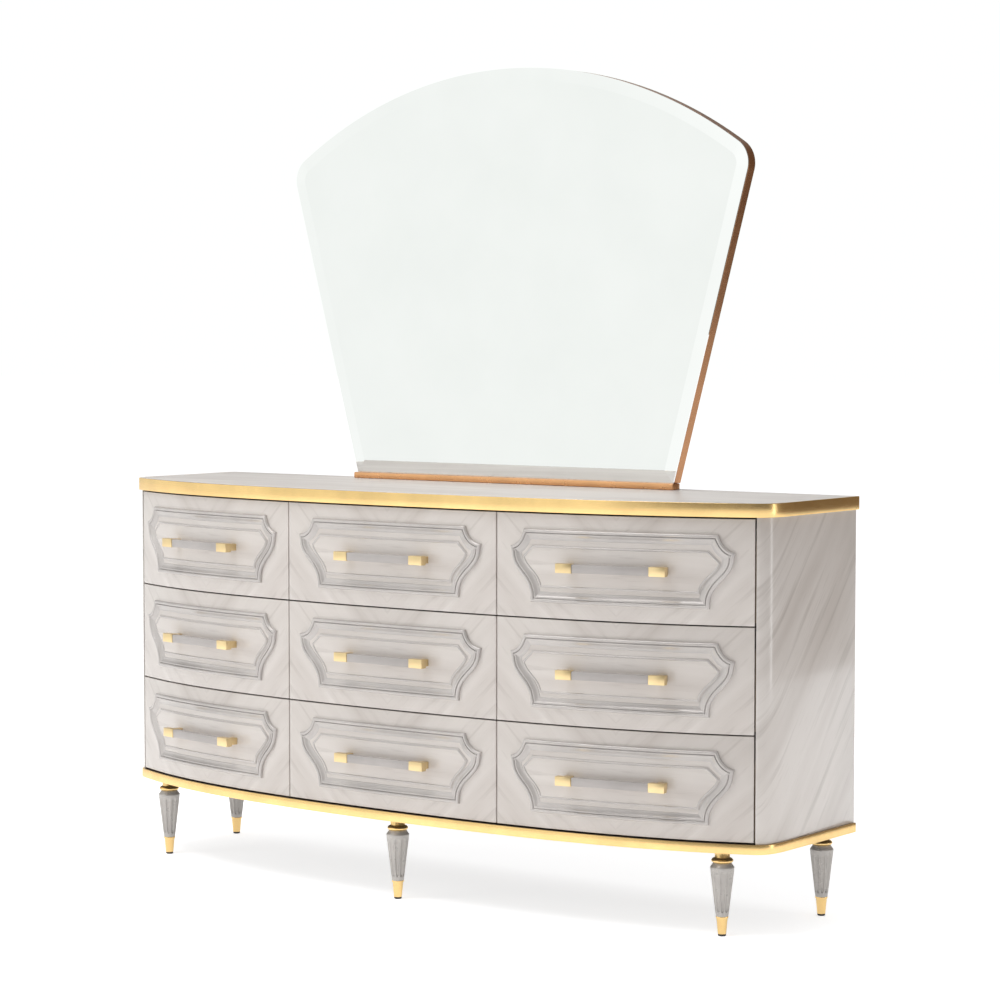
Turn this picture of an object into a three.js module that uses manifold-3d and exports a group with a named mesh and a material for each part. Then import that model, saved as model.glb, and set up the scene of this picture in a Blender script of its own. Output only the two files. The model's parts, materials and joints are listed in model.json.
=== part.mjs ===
// A bow-front nine-drawer dresser with a fan-shaped mirror standing on its top.
// Millimetres, +Z up, +X to the viewer's right, front towards -Y.
// The origin is the bottom centre of the whole object's box.
import * as THREE from "three";
import { mergeVertices } from "three/addons/utils/BufferGeometryUtils.js";
import Module from "manifold-3d";

const wasm = await Module();
wasm.setup();

// ---------- driving dimensions ----------
const caseWidth = 1880;
const caseDepth = 520; // back face to the middle of the bowed front
const topHeight = 952; // floor to the top surface
const topThickness = 31;
const bottomThickness = 22;
const legHeight = 188; // floor to the underside of the bottom panel
const bowSagitta = 154; // how far the middle of the front stands ahead of its ends
const bowSquareness = 0.49; // share of the bow that comes from its fourth power term
const bowGrid = 78; // width of the flats that stand in for the bow
const cornerStartX = 912; // where each rounded corner leaves the bow
const cornerReach = 71; // how far back from the bow's end tangent the corner meets the side
const topOverhang = 8;
const bottomOverhang = 5;
const trimThickness = 5;
const fit = 0.3; // gap left between touching pieces
const outlineFrontSteps = 10; // flats along half of the bow in the case outline
const outlineCornerSteps = 6;
const solverRounds = 40; // rounds of the search for the centre of the mirror's shoulders

const sideThickness = 28;
const dividerThickness = 20;
const dividerX = 309; // centre of each divider
const backThickness = 8;
const backInset = 6;
const dustThickness = 12;
const rowCount = 3;
const revealTop = 3.5; // dark gap above the top row and below the bottom row
const revealSide = 3;
const revealBetween = 3;

const frontThickness = 20;
const boxWall = 13;
const boxBottom = 8;
const boxHeight = 178;
const boxSideClearance = 2;
const boxRearY = -26; // rear of the drawer boxes, from the back face
const boxLift = 1; // running gap over the board that a drawer slides on

const mouldingHeight = 10;
const fieldHeight = 5;

const handleLength = 262;
const handleHeight = 21;
const handleDepth = 17;
const handleStandoff = 38; // drawer face to the front of the bar
const handlePostWidth = 20;
const handlePostInset = 9; // end of the bar to the outer side of its post
const handlePostHeight = 16;
const handleOverrun = 4; // how far the posts run into the front before they are cut back to its face

const mirrorFaceY = -51; // front of the glass, from the back face
const mirrorGlassThickness = 6;
const mirrorDepth = 34;
const mirrorRim = 2.5; // thickness left at the edge of the bevel
const mirrorBevel = 30;
const mirrorHeight = 1005; // top surface to the crown of the glass
const mirrorFootHalf = 478;
const mirrorSideSlope = 0.275; // sideways lean of each straight side, per unit of height
const mirrorCrownRadius = 1167;
const mirrorCornerRadius = 60;
const mirrorBandThickness = 3;
const railHalf = 483;
const railHeight = 15;
const railDepth = 32;
const railLead = 8; // how far the rail stands ahead of the glass
const supportX = 300;
const supportWidth = 60;
const supportThickness = 18;
const supportFoot = 640; // lowest point of a mirror support
const supportTop = 1560;

// ---------- derived places ----------
const half = caseWidth / 2;
const caseBottom = legHeight + bottomThickness;
const caseTop = topHeight - topThickness;
const totalFront = caseDepth + handleStandoff;
const frameShift = (totalFront - supportThickness) / 2; // back face to the origin, along Y
const rowPitch = (caseTop - caseBottom) / rowCount;
const backFrontY = -backInset - backThickness;

// Y of the bowed front at x, measured from the back face.
function bowY(x) {
  const t = (x / half) ** 2;
  return -caseDepth + bowSagitta * ((1 - bowSquareness) * t + bowSquareness * t * t);
}

// How far Y changes for each millimetre of x on the bowed front.
function bowSlope(x) {
  const square = (2 * (1 - bowSquareness) * x) / half ** 2;
  const quartic = (4 * bowSquareness * x ** 3) / half ** 4;
  return bowSagitta * (square + quartic);
}

// ---------- geometry helpers ----------
function solidFrom(geometry) {
  const bare = geometry.index ? geometry.toNonIndexed() : geometry.clone();
  bare.deleteAttribute("normal");
  bare.deleteAttribute("uv");
  const merged = mergeVertices(bare, 1e-3);
  const mesh = new wasm.Mesh({
    numProp: 3,
    vertProperties: merged.attributes.position.array,
    triVerts: new Uint32Array(merged.index.array),
  });
  return new wasm.Manifold(mesh);
}

function geometryFrom(solid) {
  const mesh = solid.getMesh();
  const geometry = new THREE.BufferGeometry();
  geometry.setAttribute("position", new THREE.BufferAttribute(new Float32Array(mesh.vertProperties), 3));
  geometry.setIndex(new THREE.BufferAttribute(new Uint32Array(mesh.triVerts), 1));
  return geometry;
}

// A plan outline in X and Y, raised from zLow to zHigh.
function prism(outline, zLow, zHigh, holes = []) {
  const shape = new THREE.Shape(outline.map(([x, y]) => new THREE.Vector2(x, y)));
  shape.holes = holes.map((hole) => new THREE.Path(hole.map(([x, y]) => new THREE.Vector2(x, y))));
  const geometry = new THREE.ExtrudeGeometry(shape, { depth: zHigh - zLow, bevelEnabled: false });
  return geometry.translate(0, 0, zLow);
}

function block(xLow, xHigh, yLow, yHigh, zLow, zHigh) {
  const geometry = new THREE.BoxGeometry(xHigh - xLow, yHigh - yLow, zHigh - zLow);
  return geometry.translate((xLow + xHigh) / 2, (yLow + yHigh) / 2, (zLow + zHigh) / 2);
}

// The bow as a run of flats on a shared grid, so that boards laid one behind another nest exactly.
function flatBowY(x) {
  const xLow = Math.floor(x / bowGrid) * bowGrid;
  const share = (x - xLow) / bowGrid;
  return bowY(xLow) * (1 - share) + bowY(xLow + bowGrid) * share;
}

// Points along those flats from xLow to xHigh, pushed forward by ahead.
function bowPoints(xLow, xHigh, ahead = 0) {
  const first = Math.floor(xLow / bowGrid) + 1;
  const count = Math.max(0, Math.ceil(xHigh / bowGrid) - first);
  const inner = Array.from({ length: count }, (_, i) => (first + i) * bowGrid);
  return [xLow, ...inner, xHigh].map((x) => [x, flatBowY(x) - ahead]);
}

// The rounded corner: a curve that leaves the bow along its tangent and runs into the flat side.
function cornerCurve() {
  const startY = bowY(cornerStartX);
  const tangentY = startY + bowSlope(cornerStartX) * (half - cornerStartX);
  return new THREE.QuadraticBezierCurve(
    new THREE.Vector2(cornerStartX, startY),
    new THREE.Vector2(half, tangentY),
    new THREE.Vector2(half, tangentY + cornerReach),
  );
}

// The right half of the case outline, from the middle of the front to the back corner, grown by grow.
function rightOutline(grow) {
  const points = [];
  for (let i = 0; i < outlineFrontSteps; i++) {
    const x = (cornerStartX * i) / outlineFrontSteps;
    const turn = Math.atan(bowSlope(x));
    points.push([x + grow * Math.sin(turn), bowY(x) - grow * Math.cos(turn)]);
  }
  const corner = cornerCurve();
  for (let i = 0; i <= outlineCornerSteps; i++) {
    const at = corner.getPoint(i / outlineCornerSteps);
    const along = corner.getTangent(i / outlineCornerSteps);
    points.push([at.x + grow * along.y, at.y - grow * along.x]);
  }
  points.push([half + grow, 0]);
  return points;
}

// The whole case outline, counter-clockwise, from the left back corner round to the right back corner.
function caseOutline(grow) {
  const right = rightOutline(grow);
  const left = right.slice(1).reverse().map(([x, y]) => [-x, y]);
  return [...left, ...right];
}

// A band that follows the case outline on the front and both sides.
function trimBand(grow, zLow, zHigh) {
  const outer = caseOutline(grow);
  const inner = caseOutline(grow - trimThickness).reverse();
  return prism([...outer, ...inner], zLow, zHigh);
}

// ---------- drawer face shapes, in the face's own x (across) and z (up) ----------
const plaqueTop = { x: 226, z: 82 };
const plaqueFoot = { x: 208, z: -81 };
const plaqueTipMargin = 38.5; // from the tip to the edge of the drawer front
const plaqueTipHigh = 43;
const plaqueTipLow = 30;
const plaqueTipSlant = 3;
const plaqueScoop = { x: 12, z: 8 }; // handle of the scooped shoulder, from its two ends
const plaqueOgee = { highX: -2, highZ: -50, lowX: -4, lowZ: 60 }; // handles of the flank, from its ends
const mouldingWidth = 22;
const fieldTop = { x: 205, z: 46 };
const fieldTip = { x: 230, z: 21 };
const fieldFoot = { x: 187, z: -48 };
const fieldOgee = { highX: -3, highZ: -26, lowX: -1, lowZ: 28 };

// The right side of the plaque outline from top to foot: a scooped shoulder, a blunt tip and an ogee flank.
function plaqueFlank(tipX, inset) {
  const lowX = tipX - plaqueTipSlant;
  const shoulder = new THREE.QuadraticBezierCurve(
    new THREE.Vector2(plaqueTop.x - inset * 0.6, plaqueTop.z - inset),
    new THREE.Vector2(plaqueTop.x + plaqueScoop.x - inset * 0.8, plaqueTipHigh + plaqueScoop.z - inset * 0.7),
    new THREE.Vector2(tipX - inset * 1.1, plaqueTipHigh - inset * 0.25),
  );
  const flank = new THREE.CubicBezierCurve(
    new THREE.Vector2(lowX - inset * 1.1, plaqueTipLow - inset * 0.1),
    new THREE.Vector2(lowX + plaqueOgee.highX - inset, plaqueTipLow + plaqueOgee.highZ),
    new THREE.Vector2(plaqueFoot.x + plaqueOgee.lowX - inset, plaqueFoot.z + plaqueOgee.lowZ),
    new THREE.Vector2(plaqueFoot.x - inset * 0.75, plaqueFoot.z + inset),
  );
  return [...shoulder.getPoints(4), ...flank.getPoints(5)].map((p) => [p.x, p.y]);
}

// The right side of the raised field from top to foot: a slanted shoulder and a shallower ogee flank.
function fieldFlank() {
  const flank = new THREE.CubicBezierCurve(
    new THREE.Vector2(fieldTip.x, fieldTip.z),
    new THREE.Vector2(fieldTip.x + fieldOgee.highX, fieldTip.z + fieldOgee.highZ),
    new THREE.Vector2(fieldFoot.x + fieldOgee.lowX, fieldFoot.z + fieldOgee.lowZ),
    new THREE.Vector2(fieldFoot.x, fieldFoot.z),
  );
  return [[fieldTop.x, fieldTop.z], ...flank.getPoints(4).map((p) => [p.x, p.y])];
}

// Closes a right flank with its mirror image, counter-clockwise.
function closeFace(flank) {
  const left = flank.map(([x, z]) => [-x, z]);
  return [...left, ...[...flank].reverse()];
}

// The space between the bowed face pushed forward by ahead and a plane behind it.
function bowSlab(xLow, xHigh, zLow, zHigh, ahead, rearY) {
  const outline = [...bowPoints(xLow, xHigh, ahead), [xHigh, rearY], [xLow, rearY]];
  return solidFrom(prism(outline, zLow, zHigh));
}

// A face shape around x = faceX and z = faceZ, standing height proud of the bowed front.
function raisedOnBow(outline, hole, height, faceX, faceZ) {
  const geometry = prism(outline, 0, caseDepth + handleStandoff, hole ? [hole] : []);
  geometry.rotateX(Math.PI / 2).translate(faceX, 0, faceZ);
  const xReach = Math.max(...outline.map(([x]) => x)) + 5;
  const zReach = plaqueTop.z + 5;
  const rearY = bowY(Math.abs(faceX) + xReach) + 2;
  const slab = bowSlab(faceX - xReach, faceX + xReach, faceZ - zReach, faceZ + zReach, height, rearY);
  const board = bowSlab(faceX - xReach, faceX + xReach, faceZ - zReach, faceZ + zReach, -2, rearY + 1);
  return solidFrom(geometry).intersect(slab).subtract(board);
}

// ---------- drawers ----------
const drawerReach = half - sideThickness - revealSide; // outer edge of the side columns' fronts
const columns = [
  { name: "left", xLow: -drawerReach, xHigh: -dividerX - revealBetween / 2 },
  { name: "middle", xLow: -dividerX + revealBetween / 2, xHigh: dividerX - revealBetween / 2 },
  { name: "right", xLow: dividerX + revealBetween / 2, xHigh: drawerReach },
];
const bays = {
  left: [-half + sideThickness, -dividerX - dividerThickness / 2],
  middle: [-dividerX + dividerThickness / 2, dividerX - dividerThickness / 2],
  right: [dividerX + dividerThickness / 2, half - sideThickness],
};
const rows = ["top", "centre", "bottom"].map((name, i) => {
  const zHigh = caseTop - i * rowPitch;
  const zLow = zHigh - rowPitch;
  return {
    name,
    floor: i === rowCount - 1 ? zLow : zLow + dustThickness / 2, // the board that the drawer slides on
    frontHigh: zHigh - (i === 0 ? revealTop : revealBetween / 2),
    frontLow: zLow + (i === rowCount - 1 ? revealTop : revealBetween / 2),
  };
});

// The bowed front board with its applied moulding and raised field.
function drawerFront(column, row) {
  const face = bowPoints(column.xLow, column.xHigh);
  const rear = bowPoints(column.xLow, column.xHigh, -frontThickness).reverse();
  const board = solidFrom(prism([...face, ...rear], row.frontLow, row.frontHigh));
  const faceX = (column.xLow + column.xHigh) / 2;
  const faceZ = (row.frontLow + row.frontHigh) / 2;
  const tipX = (column.xHigh - column.xLow) / 2 - plaqueTipMargin;
  const outer = closeFace(plaqueFlank(tipX, 0));
  const inner = closeFace(plaqueFlank(tipX, mouldingWidth)).reverse();
  const moulding = raisedOnBow(outer, inner, mouldingHeight, faceX, faceZ);
  const field = raisedOnBow(closeFace(fieldFlank()), null, fieldHeight, faceX, faceZ);
  return geometryFrom(board.add(moulding).add(field));
}

// The open-topped drawer box, whose front wall follows the bow behind the front board.
function drawerBox(column, row) {
  const [bayLow, bayHigh] = bays[column.name];
  const xLow = bayLow + boxSideClearance;
  const xHigh = bayHigh - boxSideClearance;
  const setback = frontThickness + fit;
  const outer = [...bowPoints(xLow, xHigh, -setback), [xHigh, boxRearY], [xLow, boxRearY]];
  const innerFront = bowPoints(xLow + boxWall, xHigh - boxWall, -setback - boxWall);
  const inner = [...innerFront, [xHigh - boxWall, boxRearY - boxWall], [xLow + boxWall, boxRearY - boxWall]];
  const zLow = row.floor + boxLift;
  const tub = solidFrom(prism(outer, zLow, zLow + boxHeight));
  const cavity = solidFrom(prism(inner, zLow + boxBottom, zLow + boxHeight + 10));
  return geometryFrom(tub.subtract(cavity));
}

// A square bar along the face's own tangent, on two posts cut back to stand on the raised field.
function drawerHandle(faceX, faceZ) {
  const endX = handleLength / 2;
  const zHalf = handleHeight / 2;
  const barFront = -handleStandoff;
  const barBack = barFront + handleDepth;
  const postOuter = endX - handlePostInset;
  const postInner = postOuter - handlePostWidth;
  const blocks = [
    block(-endX, endX, barFront, barBack, -zHalf, zHalf),
    block(postInner, postOuter, barBack - 1, handleOverrun, -handlePostHeight / 2, handlePostHeight / 2),
    block(-postOuter, -postInner, barBack - 1, handleOverrun, -handlePostHeight / 2, handlePostHeight / 2),
  ];
  const turn = Math.atan(bowSlope(faceX));
  const placed = blocks.map((geometry) => {
    return solidFrom(geometry.rotateZ(turn).translate(faceX, bowY(faceX), faceZ));
  });
  const reach = endX + 10;
  const clear = fieldHeight + fit;
  const board = bowSlab(faceX - reach, faceX + reach, faceZ - 30, faceZ + 30, clear, bowY(half));
  return geometryFrom(placed[0].add(placed[1]).add(placed[2]).subtract(board));
}

// ---------- legs ----------
const shaftFoot = 44; // top of the ferrule
const shaftTop = 162;
const shaftChamfer = 9; // height of the shoulder chamfer, and of the plain ring under it
const legTopRadius = 27;
const legShoulderRadius = 20;
const legFootRadius = 14;
const fluteCount = 8;
const fluteDepth = 0.09; // as a share of the shaft's radius

// The tapered wooden shaft: eight scooped flutes between narrow lands, under a chamfered shoulder.
function legShaft() {
  const pointsPerFlute = 4;
  const around = fluteCount * pointsPerFlute;
  const levels = [
    { z: shaftFoot, r: legFootRadius, scoop: 0 },
    { z: shaftFoot + 8, r: legFootRadius + 0.7, scoop: 1 },
    { z: shaftTop - 2 * shaftChamfer, r: legTopRadius - 0.8, scoop: 1 },
    { z: shaftTop - shaftChamfer, r: legTopRadius, scoop: 0 },
    { z: shaftTop, r: legShoulderRadius, scoop: 0 },
  ];
  const positions = [];
  const indices = [];
  for (const level of levels) {
    for (let i = 0; i < around; i++) {
      const a = (2 * Math.PI * i) / around;
      const inFlute = Math.sin((Math.PI * (i % pointsPerFlute)) / pointsPerFlute);
      const r = level.r * (1 - fluteDepth * level.scoop * inFlute);
      positions.push(r * Math.cos(a), r * Math.sin(a), level.z);
    }
  }
  for (let k = 0; k + 1 < levels.length; k++) {
    for (let i = 0; i < around; i++) {
      const a = k * around + i;
      const b = k * around + ((i + 1) % around);
      indices.push(a, b, b + around, a, b + around, a + around);
    }
  }
  const footCentre = positions.length / 3;
  positions.push(0, 0, shaftFoot, 0, 0, shaftTop);
  const lastRing = (levels.length - 1) * around;
  for (let i = 0; i < around; i++) {
    const next = (i + 1) % around;
    indices.push(footCentre, next, i, footCentre + 1, lastRing + i, lastRing + next);
  }
  const geometry = new THREE.BufferGeometry();
  geometry.setAttribute("position", new THREE.Float32BufferAttribute(positions, 3));
  geometry.setIndex(indices);
  return geometry;
}

// A turned piece: profile points of radius and height, from the bottom of the axis to the top.
function turned(profile, segments = 16) {
  const points = profile.map(([r, z]) => new THREE.Vector2(r, z));
  return new THREE.LatheGeometry(points, segments).rotateX(Math.PI / 2);
}

const collarGeometry = turned([
  [0, shaftTop + fit],
  [19, shaftTop + fit],
  [21, shaftTop + 5],
  [18, shaftTop + 10],
  [17, shaftTop + 14],
  [17, legHeight - fit],
  [0, legHeight - fit],
]);
const ferruleGeometry = turned([
  [0, 0],
  [8, 0],
  [9.5, 4],
  [13.6, shaftFoot - fit],
  [0, shaftFoot - fit],
]);

const legPlaces = [
  { name: "front_left", x: -828, y: -379 },
  { name: "front_middle", x: 0, y: -483 },
  { name: "front_right", x: 828, y: -379 },
  { name: "rear_left", x: -890, y: -58 },
  { name: "rear_right", x: 890, y: -58 },
];

// ---------- mirror ----------
// The fan outline in x and z over the top surface, shrunk by inset: a straight foot,
// two leaning sides, two rounded shoulders and one crown arc.
function mirrorOutline(inset, footZ) {
  const crownCentreZ = mirrorHeight - mirrorCrownRadius;
  const crownRadius = mirrorCrownRadius - inset;
  const cornerR = mirrorCornerRadius - inset;
  const lean = Math.atan(mirrorSideSlope);
  // The shoulder's centre lies cornerRadius inside the side line and inside the crown.
  const reach = mirrorCrownRadius - mirrorCornerRadius;
  const lineX = (z) => mirrorFootHalf + mirrorSideSlope * (z - railHeight);
  let centreZ = mirrorHeight * 0.7; // a first guess, refined below
  for (let i = 0; i < solverRounds; i++) {
    const x = lineX(centreZ) - mirrorCornerRadius / Math.cos(lean);
    centreZ = crownCentreZ + Math.sqrt(reach * reach - x * x);
  }
  const centreX = lineX(centreZ) - mirrorCornerRadius / Math.cos(lean);
  const crownAngle = Math.atan2(centreX, centreZ - crownCentreZ);
  const right = [[lineX(footZ) - inset / Math.cos(lean), footZ]];
  const cornerSteps = 6;
  for (let i = 0; i <= cornerSteps; i++) {
    const a = -lean + ((Math.PI / 2 - crownAngle + lean) * i) / cornerSteps;
    right.push([centreX + cornerR * Math.cos(a), centreZ + cornerR * Math.sin(a)]);
  }
  const crownSteps = 12;
  const crown = Array.from({ length: crownSteps - 1 }, (_, i) => {
    const a = crownAngle * (1 - (2 * (i + 1)) / crownSteps);
    return [crownRadius * Math.sin(a), crownCentreZ + crownRadius * Math.cos(a)];
  });
  const left = [...right].reverse().map(([x, z]) => [-x, z]);
  return [...right, ...crown, ...left];
}

// An upright slab with that outline, from yFront back to yBack.
function mirrorSlab(outline, yFront, yBack, hole) {
  const geometry = prism(outline, -yBack, -yFront, hole ? [hole] : []);
  geometry.rotateX(Math.PI / 2);
  return geometry.translate(0, 0, topHeight);
}

// The glass plate with a bevelled margin: the back outline lofted to the smaller front outline.
function bevelledGlass() {
  const backFace = mirrorOutline(0, railHeight + fit);
  const frontFace = mirrorOutline(mirrorBevel, railHeight + fit + mirrorBevel);
  const rings = [
    { loop: backFace, y: mirrorFaceY + mirrorGlassThickness },
    { loop: backFace, y: mirrorFaceY + mirrorGlassThickness - mirrorRim },
    { loop: frontFace, y: mirrorFaceY },
  ];
  const count = backFace.length;
  const positions = rings.flatMap((ring) => ring.loop.flatMap(([x, z]) => [x, ring.y, topHeight + z]));
  const indices = [];
  for (let k = 0; k + 1 < rings.length; k++) {
    for (let i = 0; i < count; i++) {
      const a = k * count + i;
      const b = k * count + ((i + 1) % count);
      indices.push(a, b, b + count, a, b + count, a + count);
    }
  }
  const caps = (loop) => THREE.ShapeUtils.triangulateShape(loop.map(([x, z]) => new THREE.Vector2(x, z)), []);
  caps(backFace).forEach(([a, b, c]) => indices.push(a, c, b));
  const last = (rings.length - 1) * count;
  caps(frontFace).forEach(([a, b, c]) => indices.push(last + a, last + b, last + c));
  const geometry = new THREE.BufferGeometry();
  geometry.setAttribute("position", new THREE.Float32BufferAttribute(positions, 3));
  geometry.setIndex(indices);
  return geometry;
}

// ---------- materials ----------
const finishes = {
  greyVeneer: new THREE.MeshStandardMaterial({ color: 0xb9b2ac, roughness: 0.35, metalness: 0 }),
  polishedTop: new THREE.MeshStandardMaterial({ color: 0xb4b0aa, roughness: 0.12, metalness: 0 }),
  goldTrim: new THREE.MeshStandardMaterial({ color: 0xd8b36a, roughness: 0.28, metalness: 1 }),
  roseBronze: new THREE.MeshStandardMaterial({ color: 0xb87a4b, roughness: 0.32, metalness: 1 }),
  mirrorGlass: new THREE.MeshStandardMaterial({ color: 0xe8ecea, roughness: 0.02, metalness: 1 }),
  handleGrey: new THREE.MeshStandardMaterial({ color: 0xaaa6a4, roughness: 0.25, metalness: 0.2 }),
  legGrey: new THREE.MeshStandardMaterial({ color: 0x96908a, roughness: 0.35, metalness: 0.1 }),
  boxWood: new THREE.MeshStandardMaterial({ color: 0xcdb592, roughness: 0.55, metalness: 0 }),
  carcassWood: new THREE.MeshStandardMaterial({ color: 0x3a332d, roughness: 0.7, metalness: 0 }),
};

const dresser = new THREE.Group();
dresser.position.y = frameShift;

function add(name, geometry, material, position = [0, 0, 0]) {
  const mesh = new THREE.Mesh(geometry, material);
  mesh.name = name;
  mesh.position.set(...position);
  dresser.add(mesh);
}

// ---------- case ----------
const topCore = topOverhang - trimThickness - fit;
const bottomCore = bottomOverhang - trimThickness - fit;
add("top_panel", prism(caseOutline(topCore), caseTop + fit, topHeight), finishes.polishedTop);
add("top_trim", trimBand(topOverhang, caseTop + fit, topHeight), finishes.goldTrim);
add("bottom_panel", prism(caseOutline(bottomCore), legHeight, caseBottom - fit), finishes.carcassWood);
add("bottom_trim", trimBand(bottomOverhang, legHeight, caseBottom - fit), finishes.goldTrim);

// A side panel keeps the stretch of the case outline that lies outside its inner face.
function sidePanel(side) {
  const inner = half - sideThickness;
  const outer = rightOutline(0).filter(([x]) => x >= inner);
  const outline = [[inner, 0], ...outer].map(([x, y]) => [side * x, y]);
  return prism(side > 0 ? outline : outline.reverse(), caseBottom, caseTop);
}
add("left_side_panel", sidePanel(-1), finishes.greyVeneer);
add("right_side_panel", sidePanel(1), finishes.greyVeneer);

const innerHalf = half - sideThickness - fit;
const back = block(-innerHalf, innerHalf, backFrontY, -backInset, caseBottom, caseTop);
add("back_panel", back, finishes.carcassWood);

// Each dust board crosses the dividers in half-lap slots.
// The dividers are slotted from the front and the boards from the back.
const dividerFrontY = bowY(dividerX + dividerThickness / 2) + frontThickness + 3;
const slotMeetY = (dividerFrontY + backFrontY) / 2;
const dustLevels = [1, 2].map((i) => caseTop - i * rowPitch);

function divider(side) {
  const xLow = side * dividerX - dividerThickness / 2;
  const xHigh = side * dividerX + dividerThickness / 2;
  let solid = solidFrom(block(xLow, xHigh, dividerFrontY, backFrontY - fit, caseBottom, caseTop));
  for (const z of dustLevels) {
    const low = z - dustThickness / 2 - fit;
    const high = z + dustThickness / 2 + fit;
    const slot = block(xLow - 1, xHigh + 1, dividerFrontY - 1, slotMeetY + fit, low, high);
    solid = solid.subtract(solidFrom(slot));
  }
  return geometryFrom(solid);
}
add("left_divider", divider(-1), finishes.carcassWood);
add("right_divider", divider(1), finishes.carcassWood);

function dustBoard(z) {
  const setback = frontThickness + 3;
  const front = bowPoints(-innerHalf, innerHalf, -setback);
  const rearY = backFrontY - fit;
  const outline = [...front, [innerHalf, rearY], [-innerHalf, rearY]];
  let solid = solidFrom(prism(outline, z - dustThickness / 2, z + dustThickness / 2));
  for (const side of [-1, 1]) {
    const xLow = side * dividerX - dividerThickness / 2 - fit;
    const xHigh = side * dividerX + dividerThickness / 2 + fit;
    const slot = block(xLow, xHigh, slotMeetY - fit, rearY + 1, z - dustThickness, z + dustThickness);
    solid = solid.subtract(solidFrom(slot));
  }
  return geometryFrom(solid);
}
add("upper_dust_board", dustBoard(dustLevels[0]), finishes.carcassWood);
add("lower_dust_board", dustBoard(dustLevels[1]), finishes.carcassWood);

for (const { name, x, y } of legPlaces) {
  add(`${name}_leg_shaft`, legShaft(), finishes.legGrey, [x, y, 0]);
  add(`${name}_leg_collar`, collarGeometry, finishes.goldTrim, [x, y, 0]);
  add(`${name}_leg_ferrule`, ferruleGeometry, finishes.goldTrim, [x, y, 0]);
}

// ---------- drawers in place ----------
for (const column of columns) {
  for (const row of rows) {
    const name = `${row.name}_${column.name}`;
    const faceX = (column.xLow + column.xHigh) / 2;
    const faceZ = (row.frontLow + row.frontHigh) / 2;
    add(`${name}_drawer_front`, drawerFront(column, row), finishes.greyVeneer);
    add(`${name}_drawer_box`, drawerBox(column, row), finishes.boxWood);
    add(`${name}_drawer_handle`, drawerHandle(faceX, faceZ), finishes.handleGrey);
  }
}

// ---------- mirror in place ----------
add("mirror_glass", bevelledGlass(), finishes.mirrorGlass);
const bandFront = mirrorFaceY + mirrorGlassThickness + fit;
const bandBack = mirrorFaceY + mirrorDepth;
const bandOuter = mirrorOutline(0, railHeight + fit);
const bandInner = mirrorOutline(mirrorBandThickness, railHeight + fit + mirrorBandThickness).reverse();
const band = mirrorSlab(bandOuter, bandFront, bandBack, bandInner);
add("mirror_frame_band", band, finishes.roseBronze);
const boardInset = mirrorBandThickness + fit;
const boardOutline = mirrorOutline(boardInset, railHeight + fit + boardInset);
add("mirror_back_board", mirrorSlab(boardOutline, bandFront, bandBack), finishes.carcassWood);

const railY = mirrorFaceY - railLead;
const rail = block(-railHalf, railHalf, railY, railY + railDepth, topHeight + fit, topHeight + railHeight);
add("mirror_rail", rail, finishes.roseBronze);

// Each support is a stepped board: thin behind the case, thick behind the mirror.
function mirrorSupport() {
  const outline = [
    [fit, supportFoot],
    [supportThickness, supportFoot],
    [supportThickness, supportTop],
    [bandBack + fit, supportTop],
    [bandBack + fit, topHeight + fit],
    [fit, topHeight + fit],
  ];
  const geometry = prism(outline, -supportWidth / 2, supportWidth / 2);
  geometry.rotateX(Math.PI / 2);
  geometry.rotateZ(Math.PI / 2);
  return geometry;
}
add("mirror_support_left", mirrorSupport(), finishes.carcassWood, [-supportX, 0, 0]);
add("mirror_support_right", mirrorSupport(), finishes.carcassWood, [supportX, 0, 0]);

export default dresser;
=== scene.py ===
import json
import math

import bmesh
import bpy
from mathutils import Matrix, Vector

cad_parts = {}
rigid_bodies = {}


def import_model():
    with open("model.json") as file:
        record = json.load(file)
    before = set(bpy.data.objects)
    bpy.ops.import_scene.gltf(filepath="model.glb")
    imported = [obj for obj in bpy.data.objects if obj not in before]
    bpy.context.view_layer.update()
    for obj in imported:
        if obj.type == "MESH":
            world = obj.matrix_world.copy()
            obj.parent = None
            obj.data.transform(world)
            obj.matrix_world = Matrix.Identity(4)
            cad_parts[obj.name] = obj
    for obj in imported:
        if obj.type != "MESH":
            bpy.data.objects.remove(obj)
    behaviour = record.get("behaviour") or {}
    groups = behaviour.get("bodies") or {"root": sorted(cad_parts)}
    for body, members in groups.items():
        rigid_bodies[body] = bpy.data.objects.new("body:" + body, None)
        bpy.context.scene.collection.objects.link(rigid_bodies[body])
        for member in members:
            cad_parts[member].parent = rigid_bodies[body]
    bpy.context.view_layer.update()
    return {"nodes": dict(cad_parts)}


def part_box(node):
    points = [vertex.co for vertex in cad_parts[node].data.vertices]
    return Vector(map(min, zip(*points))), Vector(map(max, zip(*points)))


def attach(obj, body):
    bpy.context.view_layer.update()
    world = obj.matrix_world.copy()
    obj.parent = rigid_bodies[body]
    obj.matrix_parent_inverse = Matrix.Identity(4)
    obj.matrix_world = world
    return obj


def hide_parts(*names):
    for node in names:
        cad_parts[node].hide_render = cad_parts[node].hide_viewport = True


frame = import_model()
mm = 0.001

dresser = {
    "halfWidth": 940 * mm,
    "bowDepth": 520 * mm,  # back face to the middle of the bowed front
    "bowSagitta": 154 * mm,
    "bowSquareness": 0.49,
    "cornerStart": 912 * mm,  # where each rounded corner leaves the bow
    "cornerReach": 71 * mm,  # from the bow's end tangent back to the flat side
}
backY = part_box("left_side_panel")[1].y  # the back face of the case
columnNames = ("left", "middle", "right")
rowNames = ("top", "centre", "bottom")
legNames = ("front_left", "front_middle", "front_right", "rear_left", "rear_right")


def bowY(x):
    t = (x / dresser["halfWidth"]) ** 2
    q = dresser["bowSquareness"]
    return backY - dresser["bowDepth"] + dresser["bowSagitta"] * ((1 - q) * t + q * t * t)


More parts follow.
